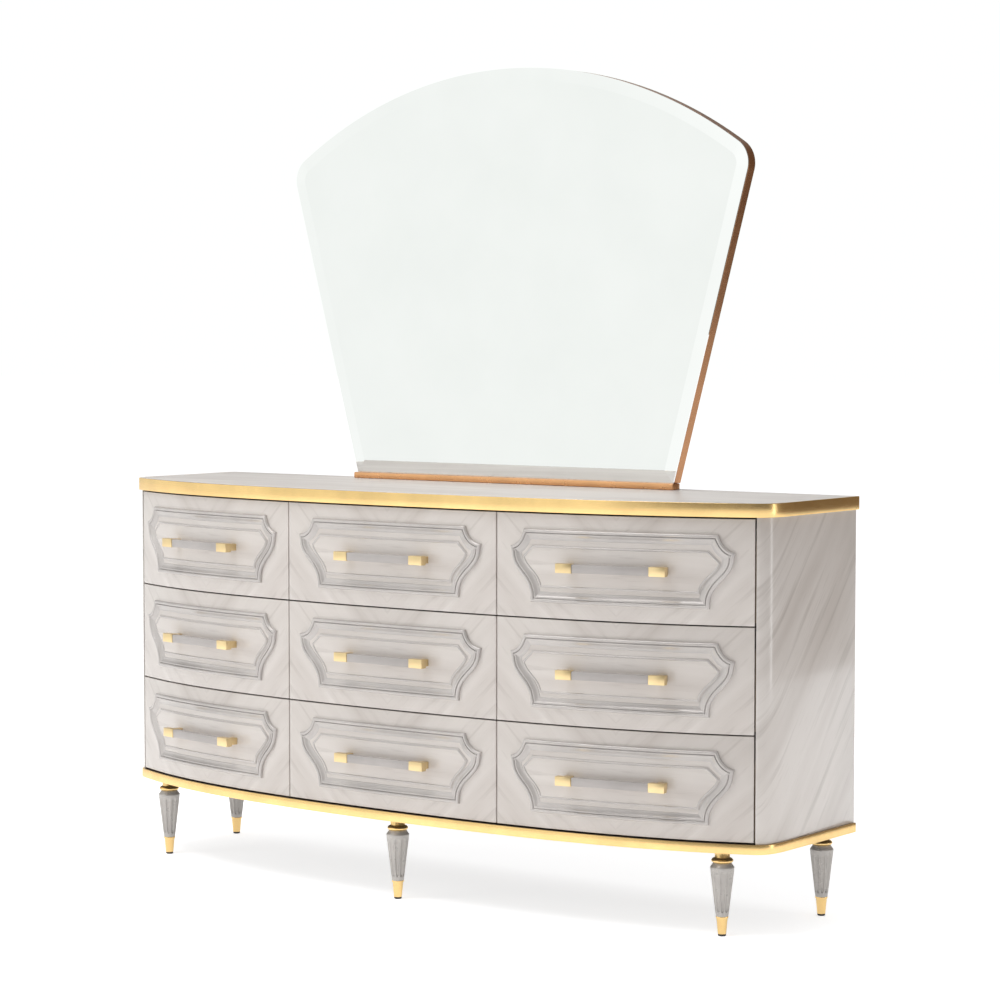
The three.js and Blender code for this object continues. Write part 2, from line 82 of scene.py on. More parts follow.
def bowAngle(x):  # how far the front has turned at x
    h = dresser["halfWidth"]
    q = dresser["bowSquareness"]
    return math.atan(dresser["bowSagitta"] * (2 * (1 - q) * x / h**2 + 4 * q * x**3 / h**4))


def onBow(x, z, height):  # a point that stands height proud of the bowed front
    a = bowAngle(x)
    return Vector((x + height * math.sin(a), bowY(x) - height * math.cos(a), z))


class Sock:
    def __init__(self, graph, socket):
        self.graph = graph
        self.socket = socket

    def __add__(self, other):
        return self.graph.math("ADD", self, other)

    __radd__ = __add__

    def __mul__(self, other):
        return self.graph.math("MULTIPLY", self, other)

    __rmul__ = __mul__

    def __sub__(self, other):
        return self.graph.math("SUBTRACT", self, other)

    def __rsub__(self, other):
        return self.graph.math("SUBTRACT", other, self)

    def __truediv__(self, other):
        return self.graph.math("DIVIDE", self, other)

    def __abs__(self):
        return self.graph.math("ABSOLUTE", self)


class Graph:
    def raw(self, kind, settings=None, values=None):
        n = self.tree.nodes.new(kind)
        for key, value in (settings or {}).items():
            if key == "stops":
                ramp = n.color_ramp
                for i, (at, colour) in enumerate(value):
                    stop = ramp.elements[i] if i < 2 else ramp.elements.new(at)
                    stop.position = at
                    stop.color = (*colour, 1)
            else:
                setattr(n, key, value)
        for key, value in (values or {}).items():
            if isinstance(value, Sock):
                self.tree.links.new(value.socket, n.inputs[key])
            else:
                n.inputs[key].default_value = value
        return n

    def node(self, kind, settings=None, values=None, out=0):
        return Sock(self, self.raw(kind, settings, values).outputs[out])

    def math(self, operation, *terms):
        return self.node("ShaderNodeMath", {"operation": operation}, dict(enumerate(terms)))

    def ramp(self, value, stops):
        return self.node("ShaderNodeValToRGB", {"stops": stops}, {"Fac": value})

    def spread(self, value, low, high):  # 0 at low and 1 at high
        return self.node("ShaderNodeMapRange", {}, {"Value": value, "From Min": low, "From Max": high})

    def blend(self, share, a, b):
        n = self.raw("ShaderNodeMix", {"data_type": "RGBA"})
        self.tree.links.new(share.socket, n.inputs[0])
        for socket, value in ((n.inputs[6], a), (n.inputs[7], b)):
            if isinstance(value, Sock):
                self.tree.links.new(value.socket, socket)
            else:
                socket.default_value = (*value, 1)
        return Sock(self, n.outputs[2])


class Finish(Graph):
    def __init__(self, name):
        self.m = bpy.data.materials.new(name)
        self.m.use_nodes = True
        self.tree = self.m.node_tree
        self.tree.nodes.clear()
        self.out = self.tree.nodes.new("ShaderNodeOutputMaterial")

    def place(self, uv=False):
        return self.node("ShaderNodeTexCoord", out="UV" if uv else "Object")

    def stretched(self, where, scale):
        return self.node("ShaderNodeMapping", {}, {"Vector": where, "Scale": scale})

    def noise(self, where, scale, detail=4, rough=0.55, twist=0):
        values = {"Vector": where, "Scale": scale, "Detail": detail, "Roughness": rough, "Distortion": twist}
        return self.node("ShaderNodeTexNoise", {}, values)

    def tone(self, value, low, high):  # a number between low and high
        return value * (high - low) + low

    def bump(self, height, strength, distance):
        return self.node("ShaderNodeBump", {}, {"Height": height, "Strength": strength, "Distance": distance})

    def surface(self, values):
        shader = self.node("ShaderNodeBsdfPrincipled", {}, values)
        self.tree.links.new(shader.socket, self.out.inputs["Surface"])
        return self.m


veneer = {
    "light": (0.640, 0.596, 0.560),
    "mid": (0.530, 0.482, 0.446),
    "dark": (0.330, 0.286, 0.256),
    "lean": (0.70, 0.72),  # across and along the grain of the chevron's leaves
    "sideLean": (0.77, 0.64),
}
wallLook = {"grain": 0.6, "roughness": (0.16, 0.26), "bump": 0.10, "coat": 0.5, "specular": 0.5}
sideLook = {**wallLook, "grain": 0.8}
topLook = {"grain": 0.35, "roughness": (0.30, 0.38), "bump": 0.02, "coat": 0.0, "specular": 0.15}
veneerLook = {"chevron": wallLook, "field": wallLook, "side": sideLook, "top": topLook}


def grainColour(f, along, across, strength, straight):  # fine pores over broad bands, both along the grain
    twist = 0.02 if straight else 0.3

    def layer(lengthwise, crosswise, shift, detail, bend):
        where = f.node("ShaderNodeCombineXYZ", {}, {0: along * lengthwise, 1: across * crosswise, 2: shift})
        return f.noise(where, 1, detail, 0.6, bend)

    streak = layer(1.4 if straight else 4, 36 if straight else 50, 0.0, 6, twist)
    pores = layer(14, 380, 3.0, 3, 0)
    clouds = layer(1.1, 7, 7.0, 3, twist)
    base = f.ramp(clouds, [(0.36, veneer["mid"]), (0.60, veneer["light"])])
    banded = f.blend(f.spread(streak, 0.54, 0.78) * strength, base, veneer["dark"])
    fine = f.blend(f.spread(pores, 0.58, 0.75) * (strength * 0.4), banded, veneer["dark"])
    return fine, streak, pores


def veneerFinish(name, kind):
    f = Finish(name)
    parts = f.raw("ShaderNodeSeparateXYZ", {}, {"Vector": f.place(kind in ("chevron", "field"))})
    x, y, z = (Sock(f, parts.outputs[i]) for i in range(3))
    if kind == "chevron":  # the leaves meet in a V along the middle of the drawer
        p, q = veneer["lean"]
        across = abs(x) * p - y * q
        along = abs(x) * q + y * p
    elif kind == "field":
        along = x
        across = y
    elif kind == "side":
        p, q = veneer["sideLean"]
        across = y * p - z * q
        along = z * p + y * q
    else:
        along = x
        across = y + z
    look = veneerLook[kind]
    colour, streak, pores = grainColour(f, along, across, look["grain"], kind == "side")
    rough = f.tone(f.noise(f.place(), 14, 3), *look["roughness"])
    normal = f.bump(streak * 0.6 + pores * 0.4, look["bump"], 0.0006)
    return f.surface(
        {
            "Base Color": colour,
            "Roughness": rough,
            "Normal": normal,
            "Coat Weight": look["coat"],
            "Specular IOR Level": look["specular"],
            "Coat Roughness": 0.08,
            "IOR": 1.45,
        }
    )


def metalFinish(name, colour, roughness, brushed=0.04, metallic=1.0):
    f = Finish(name)
    where = f.place()
    wear = f.noise(where, 9, 4)
    lines = f.noise(f.stretched(where, (8, 8, 900)), 1, 2, 0.5)
    warmer = tuple(min(1, c * 1.06) for c in colour)
    cooler = tuple(c * 0.88 for c in colour)
    base = f.ramp(wear, [(0.3, cooler), (0.7, warmer)])
    rough = f.tone(f.noise(where, 60, 3), roughness * 0.8, roughness * 1.25)
    normal = f.bump(lines, brushed, 0.0003)
    values = {"Base Color": base, "Metallic": metallic, "Roughness": rough, "Normal": normal}
    return f.surface(values)


def woodFinish(name, light, dark, roughness):
    f = Finish(name)
    where = f.place()
    rings = f.noise(f.stretched(where, (3, 45, 70)), 1, 5, 0.6, 0.5)
    pores = f.noise(f.stretched(where, (20, 380, 600)), 1, 3)
    base = f.blend(f.spread(pores, 0.55, 0.8) * 0.35, f.ramp(rings, [(0.35, light), (0.7, dark)]), dark)
    rough = f.tone(rings, roughness, roughness + 0.18)
    normal = f.bump(rings * 0.5 + pores * 0.5, 0.25, 0.0006)
    return f.surface({"Base Color": base, "Roughness": rough, "Normal": normal})


def mirrorFinish():
    f = Finish("silvered_glass")
    haze = f.noise(f.place(), 5, 3)
    base = f.ramp(haze, [(0.3, (0.865, 0.878, 0.868)), (0.7, (0.89, 0.90, 0.892))])
    return f.surface({"Base Color": base, "Metallic": 1.0, "Roughness": f.tone(haze, 0.008, 0.016)})


finish = {
    "chevron": veneerFinish("chevron_veneer", "chevron"),
    "field": veneerFinish("field_veneer", "field"),
    "moulding": metalFinish("moulding_lacquer", (0.52, 0.488, 0.468), 0.22, 0.04, 0.20),
    "side": veneerFinish("side_veneer", "side"),
    "top": veneerFinish("polished_top", "top"),
    "gold": metalFinish("polished_gold", (0.86, 0.60, 0.26), 0.24, 0.10),
    "paleGold": metalFinish("pale_brushed_gold", (0.80, 0.62, 0.34), 0.30, 0.12),
    "rose": metalFinish("rose_bronze", (0.78, 0.42, 0.20), 0.28, 0.09),
    "darkRose": metalFinish("dark_rose_bronze", (0.46, 0.225, 0.105), 0.28, 0.06),
    "handleGrey": metalFinish("handle_grey", (0.42, 0.39, 0.375), 0.30, 0.06, 0.16),
    "legGrey": metalFinish("leg_grey", (0.47, 0.445, 0.42), 0.28, 0.0, 0.20),
    "glide": metalFinish("dark_glide", (0.03, 0.03, 0.03), 0.6, 0.04, 0.0),
    "steel": metalFinish("zinc_screw", (0.62, 0.62, 0.60), 0.32),
    "drawerWood": woodFinish("drawer_wood", (0.60, 0.44, 0.28), (0.44, 0.30, 0.18), 0.42),
    "carcass": woodFinish("carcass_wood", (0.050, 0.040, 0.034), (0.026, 0.021, 0.018), 0.55),
    "mirror": mirrorFinish(),
}
print("finishes made")


def linked(name, data):
    thing = bpy.data.objects.new(name, data)
    bpy.context.scene.collection.objects.link(thing)
    return thing


def paint(mesh, material):
    mesh.materials.clear()
    mesh.materials.append(material)


def shapeMesh(name, verts, faces):
    mesh = bpy.data.meshes.new(name)
    mesh.from_pydata(verts, [], faces)
    return mesh


def makePiece(name, verts, faces, material, body, slot, replaced, smooth, soften=0):
    mesh = shapeMesh(name, [tuple(v) for v in verts], faces)
    finishMesh(name, mesh, material, body, slot, replaced, smooth, soften)


def finishMesh(name, mesh, material, body, slot, replaced, smooth, soften=0, centre=None):
    bm = bmesh.new()
    bm.from_mesh(mesh)
    bmesh.ops.remove_doubles(bm, verts=bm.verts, dist=1e-6)
    bmesh.ops.holes_fill(bm, edges=bm.edges)
    bmesh.ops.recalc_face_normals(bm, faces=bm.faces)
    if soften:  # a small round on every hard edge
        hard = [e for e in bm.edges if len(e.link_faces) == 2 and e.calc_face_angle(0) > 0.9]
        shape = {"offset": soften, "segments": 2, "profile": 0.5, "affect": "EDGES", "clamp_overlap": True}
        bmesh.ops.bevel(bm, geom=hard, **shape)
    if centre:  # the grain is laid out from the middle of the drawer's face
        layer = bm.loops.layers.uv.new("face")
        for face in bm.faces:
            for loop in face.loops:
                loop[layer].uv = (loop.vert.co.x - centre[0], loop.vert.co.z - centre[1])
    bm.to_mesh(mesh)
    bm.free()
    paint(mesh, material)
    mesh.shade_smooth()
    mesh.set_sharp_from_angle(angle=math.radians(smooth))
    piece = linked(name, mesh)
    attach(piece, body)
    if replaced:
        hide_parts(*replaced)


def tube(rings, closed=True):  # quads between rings of equal length, with the ring itself closed
    verts = [v for ring in rings for v in ring]
    n = len(rings[0])
    faces = []
    last = len(rings) if closed else len(rings) - 1
    for k in range(last):
        for i in range(n):
            a = k * n + i
            b = k * n + (i + 1) % n
            c = ((k + 1) % len(rings)) * n
            faces.append((a, b, c + (i + 1) % n, c + i))
    return verts, faces


def capped(rings):  # a tube with both ends filled by one face each
    verts, faces = tube(rings, closed=False)
    n = len(rings[0])
    faces.append(tuple(range(n))[::-1])
    faces.append(tuple(range((len(rings) - 1) * n, len(rings) * n)))
    return verts, faces


def insetLoop(points, distance):  # a closed loop moved inwards, with mitred corners
    moved = []
    n = len(points)
    for i in range(n):
        p, q, r = Vector(points[i - 1]), Vector(points[i]), Vector(points[(i + 1) % n])
        a = (q - p).normalized()
        b = (r - q).normalized()
        na, nb = Vector((-a.y, a.x)), Vector((-b.y, b.x))
        moved.append(q + (na + nb) * (distance / max(0.35, 1 + na.dot(nb))))
    return moved


def arc(cx, cy, radius, start, end, steps):
    angles = [math.radians(start + (end - start) * i / steps) for i in range(steps + 1)]
    return [(cx + radius * math.cos(a), cy + radius * math.sin(a)) for a in angles]


def bezier(points, steps):
    p = [Vector(q) for q in points]
    out = []
    for i in range(steps + 1):
        level, t = p, i / steps
        while len(level) > 1:
            level = [a.lerp(b, t) for a, b in zip(level, level[1:])]
        out.append(tuple(level[0]))
    return out


def addBlock(bm, low, high):  # an upright box between two corners
    corners = [(x, y, z) for z in (low[2], high[2]) for y in (low[1], high[1]) for x in (low[0], high[0])]
    v = [bm.verts.new(c) for c in corners]
    for f in ((0, 2, 3, 1), (4, 5, 7, 6), (0, 1, 5, 4), (2, 6, 7, 3), (0, 4, 6, 2), (1, 3, 7, 5)):
        bm.faces.new([v[i] for i in f])


def blockMesh(name, boxes, place=None):
    bm = bmesh.new()
    for low, high in boxes:
        addBlock(bm, low, high)
    if place:
        for v in bm.verts:
            v.co = place(v.co)
    mesh = bpy.data.meshes.new(name)
    bm.to_mesh(mesh)
    bm.free()
    return mesh


def bowedPlate(name, outline, low, high, centre, step=14 * mm):
    bm = bmesh.new()
    bm.faces.new([bm.verts.new((u, v, high)) for u, v in outline])
    reach = max(abs(u) for u, v in outline)
    for i in range(-int(reach / step), int(reach / step) + 1):
        geom = bm.verts[:] + bm.edges[:] + bm.faces[:]
        bmesh.ops.bisect_plane(bm, geom=geom, plane_co=(i * step, 0, 0), plane_no=(1, 0, 0), dist=1e-6)
    back = bmesh.ops.extrude_face_region(bm, geom=bm.faces[:])["geom"]
    for v in back:
        if isinstance(v, bmesh.types.BMVert):
            v.co.z = low
    for v in bm.verts:
        v.co = onBow(centre[0] + v.co.x, centre[1] + v.co.y, v.co.z)
    mesh = bpy.data.meshes.new(name)
    bm.to_mesh(mesh)
    bm.free()
    return mesh


def dense(loop, step):  # extra points along the long edges of a closed loop
    out = []
    for i, p in enumerate(loop):
        a, b = Vector(p), Vector(loop[(i + 1) % len(loop)])
        parts = max(1, math.ceil((b - a).length / step))
        out += [tuple(a.lerp(b, k / parts)) for k in range(parts)]
    return out


class Repeats(Graph):
    def __init__(self, name, inputs):
        self.tree = bpy.data.node_groups.new(name, "GeometryNodeTree")
        self.tree.interface.new_socket("Geometry", in_out="OUTPUT", socket_type="NodeSocketGeometry")
        self.ids = {}
        for label, kind in inputs.items():
            item = self.tree.interface.new_socket(label, in_out="INPUT", socket_type=kind)
            self.ids[label] = item.identifier
        self.start = self.tree.nodes.new("NodeGroupInput")
        self.end = self.tree.nodes.new("NodeGroupOutput")

    def given(self, label):
        return Sock(self, self.start.outputs[label])

    def close(self, geometry, material):
        whole = self.node("GeometryNodeRealizeInstances", {}, {"Geometry": geometry})
        painted = self.node("GeometryNodeSetMaterial", {}, {"Geometry": whole, "Material": material})
        self.tree.links.new(painted.socket, self.end.inputs["Geometry"])

    def grow(self, values):  # the tree's result as a plain mesh
        holder = linked("holder", bpy.data.meshes.new("holder"))
        modifier = holder.modifiers.new("repeats", "NODES")
        modifier.node_group = self.tree
        for label, value in values.items():
            modifier[self.ids[label]] = value
        shown = holder.evaluated_get(bpy.context.evaluated_depsgraph_get())
        mesh = bpy.data.meshes.new_from_object(shown)
        bpy.data.objects.remove(holder)
        return mesh


leg = {
    "shaftFoot": 44 * mm,
    "shaftTop": 162 * mm,
    "footRadius": 14 * mm,
    "topRadius": 27 * mm,
    "shoulderRadius": 20 * mm,
    "shoulder": 0.92,  # share of the height where the chamfer starts
    "flutes": 10,
    "fluteDepth": 3.4 * mm,
    "fluteWidth": 2.6,  # the larger, the narrower each flute
    "fluteFoot": 0.16,  # share of the height where the arch at each end starts
    "fluteHead": 0.78,
    "archSharpness": 12,
    "around": 200,
    "along": 90,
    "collarRound": (21 * mm, 3.6 * mm, 10 * mm),  # radius, bulge and height of the ring
    "glide": ((7.4 * mm, 0), (8.6 * mm, 0.6 * mm), (9 * mm, 2 * mm), (9 * mm, 5 * mm)),
}


def flutedShaftTree():
    number = "NodeSocketFloat"
    g = Repeats("fluted_shaft", dict.fromkeys(("Flutes", "Depth", "Foot", "Top", "Height"), number))
    size = {"Size X": 1.0, "Size Y": 1.0, "Vertices X": leg["around"] + 1, "Vertices Y": leg["along"]}
    grid = g.node("GeometryNodeMeshGrid", {}, size)
    xyz = g.raw("ShaderNodeSeparateXYZ", {}, {"Vector": g.node("GeometryNodeInputPosition")})
    turn = Sock(g, xyz.outputs[0]) + 0.5
    rise = Sock(g, xyz.outputs[1]) + 0.5
    side = abs(g.math("FRACT", turn * g.given("Flutes")) - 0.5) * leg["fluteWidth"]
    lowEnd = (leg["fluteFoot"] - rise) * leg["archSharpness"]
    highEnd = (rise - leg["fluteHead"]) * leg["archSharpness"]
    end = g.math("MAXIMUM", g.math("MAXIMUM", lowEnd, highEnd), 0)  # 0 along a flute, 1 at its tips
    scoop = g.math("SQRT", g.math("MAXIMUM", 1 - side * side - end * end, 0))
    climb = g.math("MINIMUM", rise / leg["shoulder"], 1)
    body = g.given("Foot") + (g.given("Top") - g.given("Foot")) * climb
    over = g.math("MAXIMUM", (rise - leg["shoulder"]) / (1 - leg["shoulder"]), 0)
    radius = body - over * (leg["topRadius"] - leg["shoulderRadius"]) - scoop * g.given("Depth")
    angle = turn * (2 * math.pi)
    x, y = radius * g.math("COSINE", angle), radius * g.math("SINE", angle)
    point = g.node("ShaderNodeCombineXYZ", {}, {0: x, 1: y, 2: rise * g.given("Height")})
    moved = g.node("GeometryNodeSetPosition", {}, {"Geometry": grid, "Position": point})
    g.close(moved, finish["legGrey"])
    return g


def rowTree(name, material):  # copies of one shape along a straight line
    inputs = {
        "Shape": "NodeSocketObject",
        "Count": "NodeSocketInt",
        "Start": "NodeSocketVector",
        "Step": "NodeSocketVector",
        "Turn": "NodeSocketVector",
    }
    g = Repeats(name, inputs)
    line = g.node(
        "GeometryNodeMeshLine",
        {"mode": "OFFSET"},
        {"Count": g.given("Count"), "Start Location": g.given("Start"), "Offset": g.given("Step")},
    )
    shape = g.node("GeometryNodeObjectInfo", {}, {"Object": g.given("Shape")}, out=4)
    turned = g.node("FunctionNodeEulerToRotation", {}, {"Euler": g.given("Turn")})
    values = {"Points": line, "Instance": shape, "Rotation": turned}
    g.close(g.node("GeometryNodeInstanceOnPoints", {}, values), material)
    return g


def joinMeshes(name, meshes):
    bm = bmesh.new()
    for m in meshes:
        bm.from_mesh(m)
    mesh = bpy.data.meshes.new(name)
    bm.to_mesh(mesh)
    bm.free()
    return mesh


case = {
    "low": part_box("left_side_panel")[0].z,
    "high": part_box("left_side_panel")[1].z,
    "topLow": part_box("top_panel")[0].z,
    "topHigh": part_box("top_panel")[1].z,
    "floorLow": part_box("bottom_panel")[0].z,
    "floorHigh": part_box("bottom_panel")[1].z,
    "sideInner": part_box("right_side_panel")[0].x,
    "topOverhang": 8 * mm,
    "bottomOverhang": 5 * mm,
    "band": 5 * mm,
    "bandGap": 0.2 * mm,
    "round": 1.4 * mm,
    "cornerSteps": 18,
    "frontSteps": 70,
}


def halfOutline(grow):  # from the middle of the front to the right back corner
    start, edge = dresser["cornerStart"], dresser["halfWidth"]
    points = []
    for i in range(case["frontSteps"]):
        x = start * i / case["frontSteps"]
        a = bowAngle(x)
        points.append((x + grow * math.sin(a), bowY(x) - grow * math.cos(a)))
    tangentY = bowY(start) + math.tan(bowAngle(start)) * (edge - start)
    p, q = Vector((start, bowY(start))), Vector((edge, tangentY))
    r = Vector((edge, tangentY + dresser["cornerReach"]))
    for i in range(case["cornerSteps"] + 1):
        t = i / case["cornerSteps"]
        at = p * (1 - t) ** 2 + q * (2 * t * (1 - t)) + r * t**2
        along = ((q - p) * (1 - t) + (r - q) * t).normalized()
        points.append((at.x + grow * along.y, at.y - grow * along.x))
    points.append((edge + grow, backY))
    return points


def wholeOutline(grow):
    right = halfOutline(grow)
    return [(-x, y) for x, y in reversed(right[1:])] + right


def makePanel(name, overhang, low, high, material, slot):
    grow = overhang - case["band"] - case["bandGap"]
    r = case["round"] * 0.4
    levels = [(-r, low), (0, low + r), (0, high - r), (-r, high)]
    rings = [[Vector((x, y, z)) for x, y in wholeOutline(grow + g)] for g, z in levels]
    verts, faces = capped(rings)
    makePiece(f"{name}_board", verts, faces, material, "case", slot, (name,), 40)


def makeBand(name, overhang, low, high):
    r = case["round"]
    t = case["band"]
    profile = [(-t, low), (-r, low), (-r * 0.3, low + r * 0.3), (0, low + r), (0, high - r)]
    profile += [(-r * 0.3, high - r * 0.3), (-r, high), (-t, high)]
    rings = [[Vector((x, y, z)) for x, y in wholeOutline(overhang + g)] for g, z in profile]
    verts = [v for ring in rings for v in ring]
    n = len(rings[0])
    faces = []
    for k in range(len(rings)):
        for i in range(n - 1):
            a = k * n + i
            b = ((k + 1) % len(rings)) * n + i
            faces.append((a, a + 1, b + 1, b))
    faces.append(tuple(k * n for k in range(len(rings))))
    faces.append(tuple(k * n + n - 1 for k in reversed(range(len(rings)))))
    makePiece(f"{name}_gold", verts, faces, finish["gold"], "case", "gold_trim", (name,), 40)


def makeSide(side):
    inner = case["sideInner"]
    outer = [p for p in halfOutline(0) if p[0] > inner - 0.01 * mm]
    outline = [(inner, backY), *outer]
    rings = [[Vector((side * x, y, z)) for x, y in outline] for z in (case["low"], case["high"])]
    verts, faces = capped(rings)
    name = "right_side_panel" if side > 0 else "left_side_panel"
    makePiece(f"{name}_veneered", verts, faces, finish["side"], "case", "veneer", (name,), 30, 0.5 * mm)


topPlace = (case["topOverhang"], case["topLow"], case["topHigh"])
floorPlace = (case["bottomOverhang"], case["floorLow"], case["floorHigh"])
makePanel("top_panel", *topPlace, finish["top"], "polished_top")
makePanel("bottom_panel", *floorPlace, finish["carcass"], "carcass_wood")
makeBand("top_trim", *topPlace)
makeBand("bottom_trim", *floorPlace)
makeSide(-1)
makeSide(1)
carcassNodes = ("back_panel", "left_divider", "right_divider", "upper_dust_board", "lower_dust_board")
for node in (*carcassNodes, "mirror_support_left", "mirror_support_right"):
    paint(frame["nodes"][node].data, finish["carcass"])
print("case made")


def turnedPiece(profile, x, y, around=48):
    angles = [2 * math.pi * i / around for i in range(around)]
    rings = [[Vector((x + r * math.cos(a), y + r * math.sin(a), z)) for a in angles] for r, z in profile]
    return capped(rings)


def collarProfile():  # a round ring, then a neck up to the case
    s = leg["shaftTop"]
    radius, bulge, height = leg["collarRound"]
    ring = [(radius + bulge * math.sin(math.pi * i / 8), s + 0.3 * mm + height * i / 8) for i in range(9)]
    neck = [(18 * mm, s + 11.5 * mm), (17 * mm, s + 13 * mm), (17 * mm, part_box("front_left_leg_collar")[1].z)]
    return [(19 * mm, s + 0.2 * mm), *ring, *neck]


def ferruleProfile():  # a tapered cup with a lip round the foot of the shaft
    foot = leg["shaftFoot"]
    cup = [(9.4 * mm, 5 * mm), (9.6 * mm, 6 * mm), (12.9 * mm, foot - 5 * mm)]
    lip = [(14.2 * mm, foot - 4 * mm), (14.6 * mm, foot - 2 * mm), (14.2 * mm, foot)]
    return [*cup, *lip, (13 * mm, foot + 0.1 * mm)]


shaftSize = {
    "Flutes": leg["flutes"],
    "Depth": leg["fluteDepth"],
    "Foot": leg["footRadius"],
    "Top": leg["topRadius"],
    "Height": leg["shaftTop"] - leg["shaftFoot"],
}
turnings = (
    ("ringed_collar", collarProfile(), finish["gold"], "gold_trim", "collar"),
    ("ferrule_cup", ferruleProfile(), finish["gold"], "gold_trim", "ferrule"),
    ("glide", leg["glide"], finish["glide"], "leg", None),
)
shaftTree = flutedShaftTree()
for name in legNames:
    low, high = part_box(f"{name}_leg_shaft")
    x, y = (low.x + high.x) / 2, (low.y + high.y) / 2
    shaft = shaftTree.grow(shaftSize)
    for v in shaft.vertices:
        v.co += Vector((x, y, leg["shaftFoot"]))
    finishMesh(f"{name}_fluted_shaft", shaft, finish["legGrey"], "case", "leg", (f"{name}_leg_shaft",), 50)
    for part, profile, material, slot, node in turnings:
        verts, faces = turnedPiece(profile, x, y)
        replaced = (f"{name}_leg_{node}",) if node else ()
        makePiece(f"{name}_{part}", verts, faces, material, "case", slot, replaced, 50)
print("legs made")


face = {
    "plaqueTop": (226 * mm, 82 * mm),
    "plaqueFoot": (208 * mm, -81 * mm),
    "tipMargin": 38.5 * mm,  # from the tip to the edge of the drawer front
    "tipSlant": 3 * mm,
    "tipHigh": 43 * mm,
    "tipLow": 30 * mm,
    "plaqueOgee": (-2 * mm, -50 * mm, -4 * mm, 60 * mm),  # handles of the flank, from its ends
    "fieldOgee": (-3 * mm, -26 * mm, -1 * mm, 28 * mm),
    "fieldTop": (205 * mm, 46 * mm),
    "fieldTip": (230 * mm, 21 * mm),
    "fieldFoot": (187 * mm, -48 * mm),
    "mouldingWidth": 24 * mm,
    "groundInset": 14 * mm,  # the ground's edge runs under the moulding
    "groundHeight": 1.2 * mm,
    "boardDepth": 20 * mm,
    "fieldHeight": 3.0 * mm,
    "boardRound": 1.2 * mm,
}


def ogee(high, low, bend, steps):
    a, b, c, d = bend
    return bezier([high, (high[0] + a, high[1] + b), (low[0] + c, low[1] + d), low], steps)


def plaqueLoop(halfFace):  # the outline of the moulding on a front of that half width
    top, foot = face["plaqueTop"], face["plaqueFoot"]
    tip = (halfFace - face["tipMargin"], face["tipHigh"])
    low = (tip[0] - face["tipSlant"], face["tipLow"])
    scoop = [(top[0] + 7 * mm, tip[1] + 13 * mm), (top[0] + 20 * mm, tip[1] + 2 * mm)]
    shoulder = bezier([top, *scoop, tip], 10)
    right = shoulder + ogee(low, foot, face["plaqueOgee"], 14)
    return [(-u, v) for u, v in right] + right[::-1]


def fieldLoop():
    right = [face["fieldTop"], *ogee(face["fieldTip"], face["fieldFoot"], face["fieldOgee"], 10)]
    return [(-u, v) for u, v in right] + right[::-1]


def mouldingProfile():  # distance in from the outer edge, and height
    w = face["mouldingWidth"]
    half = [math.pi * i / 8 for i in range(9)]
    r = 4.2 * mm  # half the bead's width
    bead = [(r - r * math.cos(a), 3.6 * mm + 4.4 * mm * math.sin(a)) for a in half]
    start, crest = 11.2 * mm, 6.8 * mm  # where the cove leaves the step
    step = [(9.0 * mm, 3.6 * mm), (9.4 * mm, 6.4 * mm), (start, crest)]
    shares = [i / 8 for i in range(1, 9)]
    cove = [(start + (w - 13 * mm) * t, crest - 5 * mm * math.sin(math.pi / 2 * t)) for t in shares]
    return [(0, -1 * mm), *bead, *step, *cove, (w - 0.6 * mm, 1.7 * mm), (w, 1.1 * mm), (w, -1 * mm)]


def beadProfile():  # the small round that edges the raised field
    half = [math.pi * i / 6 for i in range(7)]
    top = [(3 * mm - 2.2 * mm * math.cos(a), 2.6 * mm + 1.9 * mm * math.sin(a)) for a in half]
    outer = [(-0.6 * mm, 0.5 * mm), (-0.6 * mm, 2.2 * mm), (0.3 * mm, 2.5 * mm)]
    return [*outer, *top, (6.2 * mm, 2.9 * mm), (6.2 * mm, 0.5 * mm)]


def sweep(loop, profile, centre):
    points = dense(loop, 13 * mm)
    rings = []
    for inward, height in profile:
        rings.append([onBow(centre[0] + p[0], centre[1] + p[1], height) for p in insetLoop(points, inward)])
    return tube(rings)


handle = {
    "half": 131 * mm,
    "standoff": 38 * mm,
    "depth": 17 * mm,
    "height": 21 * mm,
    "end": 39 * mm,
    "barShrink": 1.1 * mm,
    "post": (102 * mm, 122 * mm, 8 * mm),  # inner side, outer side and half the height
    "edge": 1.4 * mm,
}


def makeHandle(name, body, centre):
    turn = bowAngle(centre[0])
    base = Vector((centre[0], bowY(centre[0]), centre[1]))

    def place(p):
        x = p.x * math.cos(turn) - p.y * math.sin(turn)
        y = p.x * math.sin(turn) + p.y * math.cos(turn)
        return base + Vector((x, y, p.z))

    h, front, deep = handle["half"], -handle["standoff"], handle["depth"]
    z, s = handle["height"] / 2, handle["barShrink"]
    inner, edge = h - handle["end"], handle["edge"]
    bar = blockMesh(name, [((-inner, front + s, -z + s), (inner, front + deep - s, z - s))], place)
    replaced = (f"{name}_drawer_handle",)
    finishMesh(f"{name}_bar", bar, finish["handleGrey"], body, "handle", replaced, 30, edge)
    ends = []
    p0, p1, pz = handle["post"]
    for side in (-1, 1):
        xs = sorted((side * inner, side * h))
        ends.append(((xs[0], front, -z), (xs[1], front + deep, z)))
    caps = blockMesh(name, ends, place)
    finishMesh(f"{name}_bar_ends", caps, finish["paleGold"], body, "handle", (), 30, edge)
    posts = []
    for side in (-1, 1):
        xs = sorted((side * p0, side * p1))
        x = side * (p0 + p1) / 2
        sag = (bowY(centre[0] + x) - bowY(centre[0]) - x * math.tan(turn)) * math.cos(turn)
        posts.append(((xs[0], front + deep - 0.5 * mm, -pz), (xs[1], sag - face["fieldHeight"] + 1 * mm, pz)))
    stems = blockMesh(name, posts, place)
    finishMesh(f"{name}_bar_posts", stems, finish["paleGold"], body, "handle", (), 30, 0.5 * mm)


